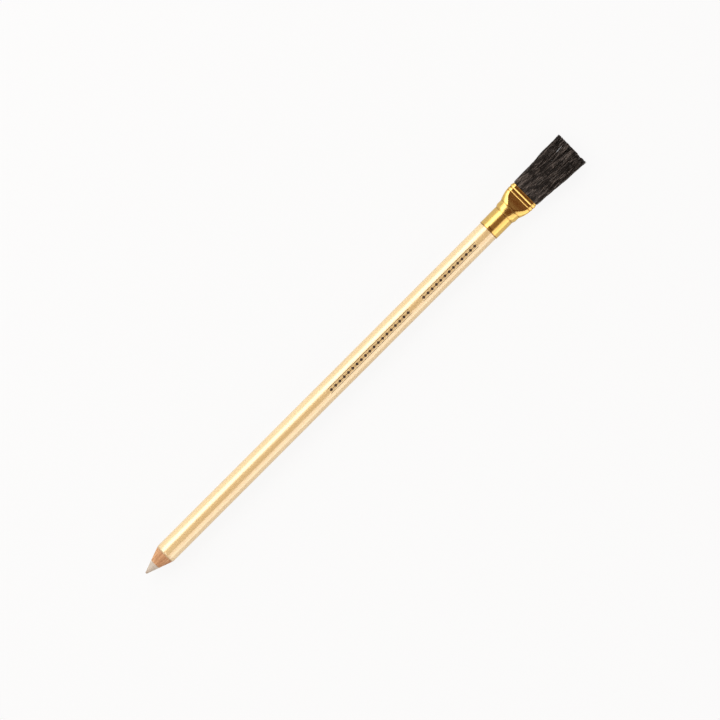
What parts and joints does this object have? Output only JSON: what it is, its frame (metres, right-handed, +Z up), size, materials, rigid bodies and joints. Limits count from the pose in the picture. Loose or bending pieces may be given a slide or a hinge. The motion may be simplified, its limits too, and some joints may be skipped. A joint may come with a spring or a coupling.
{
  "type": "typewriter eraser",
  "caption": "Round wooden eraser pencil with a sharpened rubber core at one end and a flat bristle brush in a brass ferrule at the other, for rubbing out and brushing off typed characters.",
  "frame": {"origin": "on the surface that the pencil lies on, under the middle of its length and width", "axes": "+X along the pencil from the eraser point to the brush, +Y across the flat of the brush, +Z up, square to the flat of the brush"},
  "size_m": [0.2054, 0.0136, 0.0079],
  "materials": {
    "wood": "bare reddish cedar, cut by the sharpener",
    "glue": "set wood glue",
    "eraser_rubber": "matt, gritty, greyed at the point",
    "lacquer": "glossy pale gold lacquer",
    "brass": "bright pressed sheet",
    "resin": "set resin",
    "bristle": "black-brown bristle with paler strands"
  },
  "bodies": {
    "handle": {"barrel_half_upper": "wood", "barrel_half_lower": "wood", "slat_glue": "glue", "eraser_core": "eraser_rubber", "lacquer_coat": "lacquer", "ferrule": "brass", "setting_resin": "resin", "bristle_roots": "bristle"},
    "tuft": {"bristle_tuft": "bristle"}
  },
  "joints": [
    {"name": "tuft_flex", "type": "hinge", "parent": "handle", "child": "tuft", "pos_m": [0.08102, 0, 0.00395], "axis": [0, 1, 0], "range_deg": [-40, 40], "stiffness_Nm_per_rad": 0.03}
  ]
}
